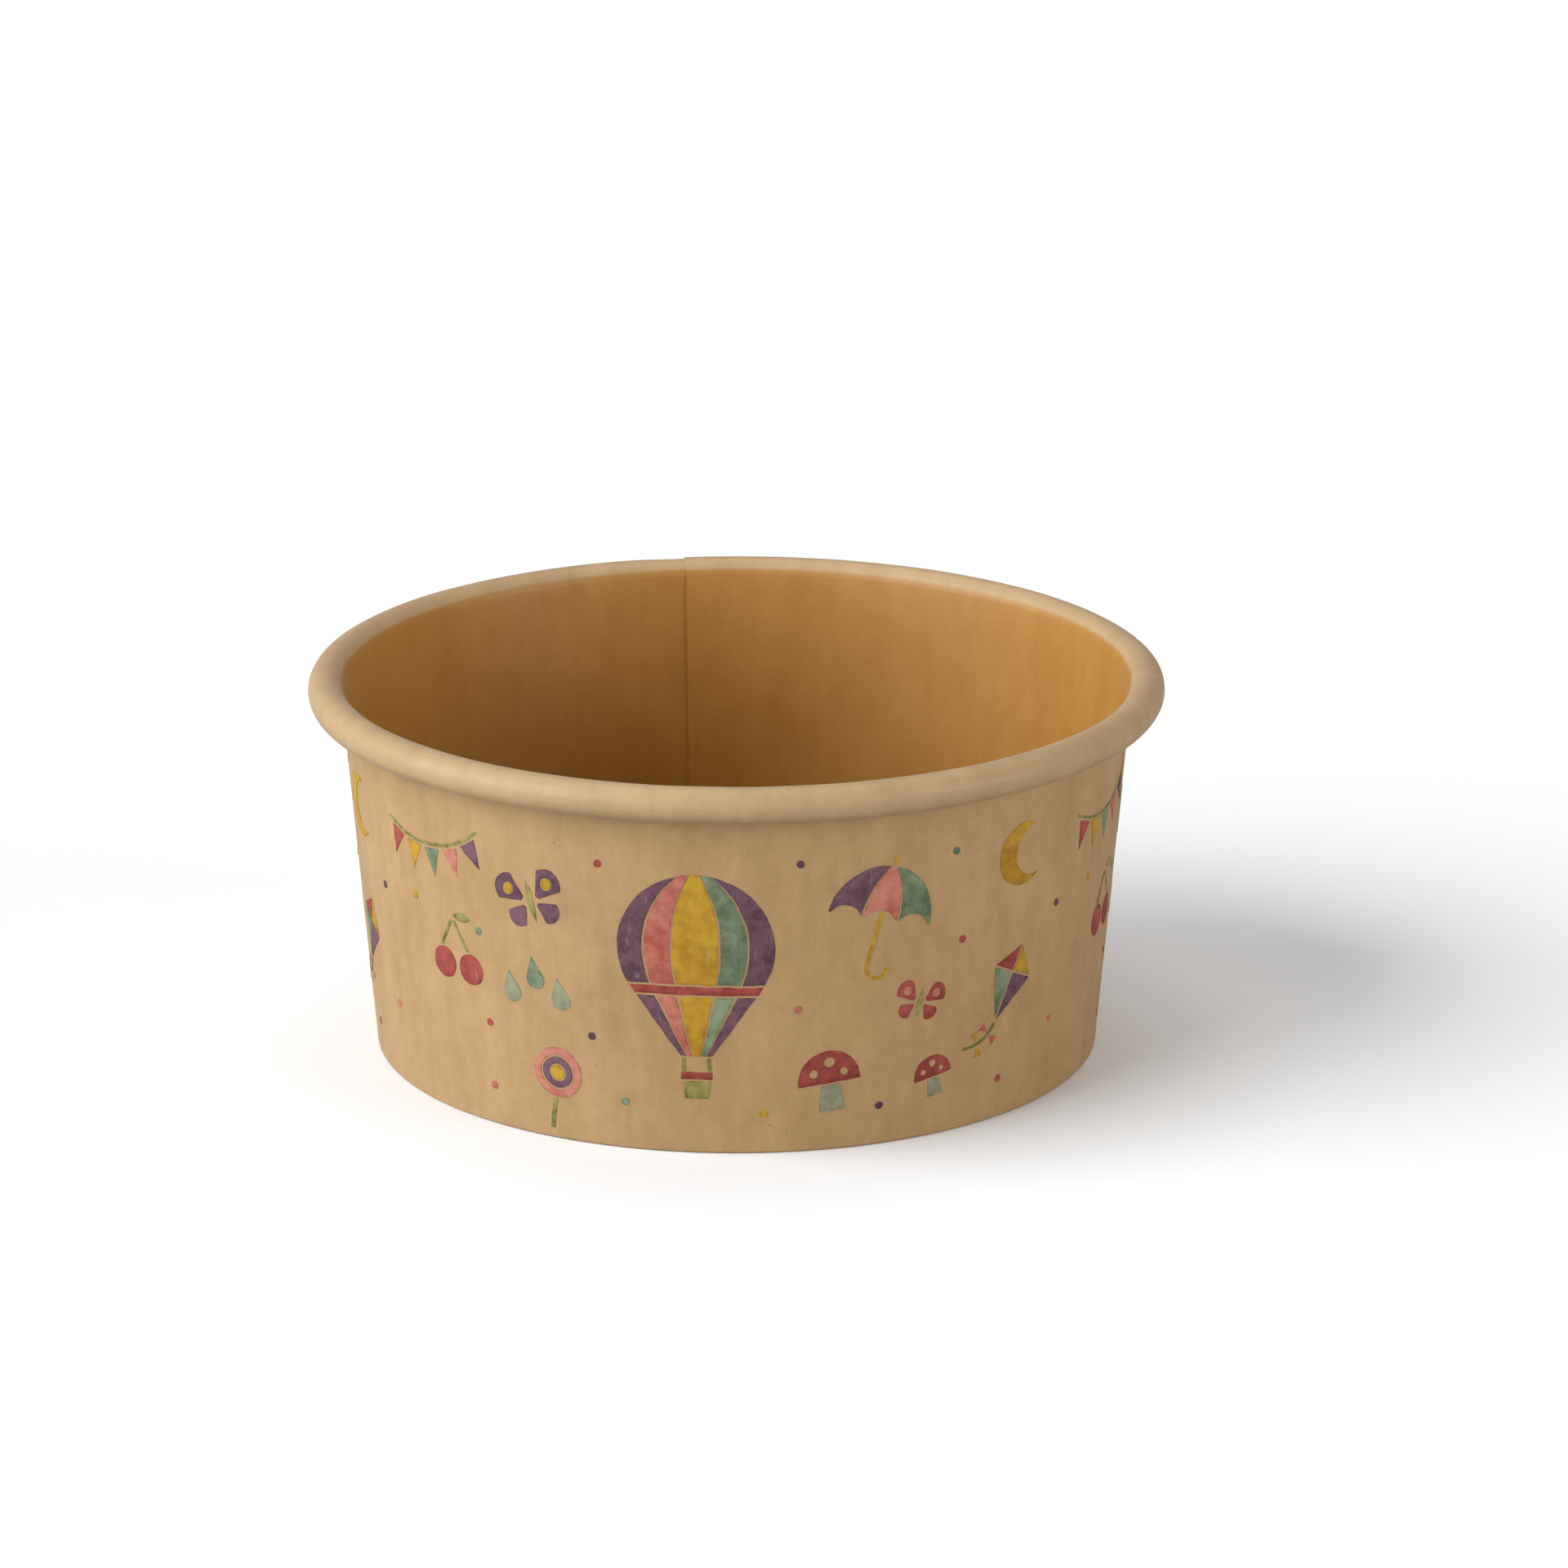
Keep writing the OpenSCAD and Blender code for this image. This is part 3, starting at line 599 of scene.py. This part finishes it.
def ink_field(node):
    """The ink of a CAD node as a thin film that is cut into small cells, so that it can carry its pigment."""
    bm = bmesh.new()
    bm.from_mesh(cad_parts[node].data)
    for layer in list(bm.loops.layers.uv.values()):
        bm.loops.layers.uv.remove(layer)
    bmesh.ops.remove_doubles(bm, verts=bm.verts, dist=1e-7)
    bm.normal_update()
    back = [f for f in bm.faces if f.normal.dot(place(1, polar(f.calc_center_median())[1], 0)) < 0.7]
    bmesh.ops.delete(bm, geom=back, context="FACES")
    for v in bm.verts:
        v.co = flat(v.co)
    bm.normal_update()
    bmesh.ops.dissolve_limit(bm, angle_limit=radians(0.5), verts=bm.verts, edges=bm.edges)
    left = set(bm.faces)
    while left:
        part = island_of(next(iter(left)), left)
        verts = set(v for f in part for v in f.verts)
        geom = list(part) + list(verts) + list(set(e for f in part for e in f.edges))
        for axis, normal in ((0, (1, 0, 0)), (1, (0, 1, 0))):
            low = min(v.co[axis] for v in verts)
            high = max(v.co[axis] for v in verts)
            at = (floor(low / cell_size) + 1) * cell_size
            while at < high:
                where = [0, 0, 0]
                where[axis] = at
                cut = bmesh.ops.bisect_plane(bm, geom=geom, dist=1e-8, plane_co=where, plane_no=normal)
                geom = cut["geom"]
                at += cell_size
    rim = []
    for e in bm.edges:
        if e.is_boundary:
            a, b = (v.co.copy() for v in e.verts)
            steps = ceil((b - a).length / (0.12 * mm))
            rim += [a.lerp(b, i / steps) for i in range(steps)]
    tree = kdtree.KDTree(len(rim))
    for i, point in enumerate(rim):
        tree.insert(point, i)
    tree.balance()
    edge = bm.verts.layers.float.new("edge")
    tone = bm.verts.layers.float.new("tone")
    pool = bm.verts.layers.float.new("pool")
    left = set(bm.faces)
    while left:
        part = island_of(next(iter(left)), left)
        verts = set(v for f in part for v in f.verts)
        low, high = min(v.co.y for v in verts), max(v.co.y for v in verts)
        middle = sum((v.co for v in verts), Vector()) / len(verts)
        own = noise.cell(middle * 700)
        for v in verts:
            v[edge] = min(1.0, tree.find(v.co)[2] / mm)
            v[tone] = own
            v[pool] = (high - v.co.y) / max(high - low, 1e-6)
    for v in bm.verts:
        waver = noise.noise_vector(v.co * 420) * 0.10 * mm + noise.noise_vector(v.co * 1500) * 0.035 * mm
        v.co.x += waver.x
        v.co.y += waver.y
    bmesh.ops.recalc_face_normals(bm, faces=bm.faces)
    for f in bm.faces:
        if f.normal.z < 0:
            f.normal_flip()
    bmesh.ops.solidify(bm, geom=bm.faces[:], thickness=film)
    low = min(v.co.z for v in bm.verts)
    uv = bm.loops.layers.uv.new("board")
    for f in bm.faces:
        for l in f.loops:
            x, y, z = l.vert.co
            l[uv].uv = ((x / mean_r % (2 * pi)) * mean_r * 10, (fold_run + y / cos(lean)) * 10)
    for v in bm.verts:
        x, y, z = v.co
        v.co = settle(place(face_r(-(seat + z - low), y), x / mean_r, y))
    return bm


# Watercolour: pigment that thins and gathers, dries to a dark line at the edge and shows the board
watercolour, given, out = group("watercolour", [
    ("Grain", "Vector", None),
    ("Board", "Color", (0.5, 0.35, 0.2, 1)),
    ("Pigment", "Color", (0.3, 0.1, 0.1, 1)),
    ("Wash", "Color", (0.5, 0.2, 0.2, 1)),
    ("Edge", "Float", 1.0),
    ("Tone", "Float", 0.5),
    ("Pool", "Float", 0.5),
    ("Cover", "Float", 0.8),
], [("Color", "Color"), ("Height", "Float")])
where = given["Grain"]
blot = grain(watercolour, where, 0.28, 0.28, 4, 0.6, 41.0)
bloom = grain(watercolour, where, 0.75, 0.75, 3, 0.55, 47.0)
brush = grain(watercolour, where, 0.8, 0.22, 3, 0.6, 53.0)
speck = grain(watercolour, where, 5.5, 5.5, 2, 0.6, 59.0)
share = 0.5
for part, middle, amount in [
    (blot, 0.5, 2.1),
    (bloom, 0.5, 1.5),
    (brush, 0.5, 0.6),
    (given["Tone"], 0.5, 0.3),
    (given["Pool"], 0.45, 0.45),
]:
    share = stir(watercolour, share, part, middle, amount)
share = maths(watercolour, "ADD", share, clamp=True)
colour = mix(watercolour, share, given["Wash"], given["Pigment"])
uneven = maths(watercolour, "MULTIPLY", step(watercolour, bloom, 0.4, 0.65), 0.65)
ring = maths(watercolour, "MULTIPLY", step(watercolour, given["Edge"], 0.3, 0.04), uneven)
dark = mix(watercolour, 1.0, given["Pigment"], (0.8, 0.75, 0.75, 1), "MULTIPLY")
colour = mix(watercolour, ring, colour, dark)
inside = step(watercolour, given["Edge"], 0.4, 0.8)
pale = maths(watercolour, "MULTIPLY", step(watercolour, brush, 0.55, 0.75), inside)
water = mix(watercolour, 0.5, given["Wash"], (0.8, 0.72, 0.6, 1))
colour = mix(watercolour, maths(watercolour, "MULTIPLY", pale, 0.26), colour, water)
thin = maths(watercolour, "MULTIPLY", step(watercolour, speck, 0.52, 0.72), 0.22)
cover = maths(watercolour, "SUBTRACT", given["Cover"], thin)
colour = mix(watercolour, cover, given["Board"], colour)
watercolour.links.new(colour, out.inputs["Color"])
watercolour.links.new(maths(watercolour, "MULTIPLY", speck, 0.5), out.inputs["Height"])

for ink, pigment, wash, cover in [
    ("violet", (0.048, 0.015, 0.038), (0.145, 0.065, 0.098), 0.96),
    ("crimson", (0.17, 0.01, 0.012), (0.345, 0.055, 0.048), 0.95),
    ("rose", (0.34, 0.055, 0.05), (0.51, 0.18, 0.13), 0.91),
    ("teal", (0.045, 0.105, 0.06), (0.18, 0.25, 0.15), 0.91),
    ("sage", (0.12, 0.165, 0.11), (0.26, 0.285, 0.19), 0.84),
    ("mustard", (0.31, 0.145, 0.002), (0.48, 0.275, 0.014), 0.96),
    ("olive", (0.075, 0.08, 0.01), (0.285, 0.265, 0.07), 0.92),
]:
    material, tree, shader, uv = painted("ink_" + ink)
    paper = kraft_node(tree, uv, kraft_light, kraft_dark, 0.7)
    paint = add(tree, "ShaderNodeGroup", set_node_tree=watercolour, Grain=uv, Board=paper.outputs["Color"],
                Pigment=(*pigment, 1), Wash=(*wash, 1), Cover=cover)
    for name in ("edge", "tone", "pool"):
        read = add(tree, "ShaderNodeAttribute", set_attribute_name=name)
        tree.links.new(read.outputs["Fac"], paint.inputs[name.capitalize()])
    tree.links.new(paint.outputs["Color"], shader.inputs["Base Color"])
    tree.links.new(paper.outputs["Roughness"], shader.inputs["Roughness"])
    shader.inputs["IOR"].default_value = 1.35
    tooth(tree, shader, maths(tree, "ADD", paper.outputs["Height"], paint.outputs["Height"]))
    node = "print_" + ink
    finish_piece(ink_field(node), node + "_ink", material, node, 50)
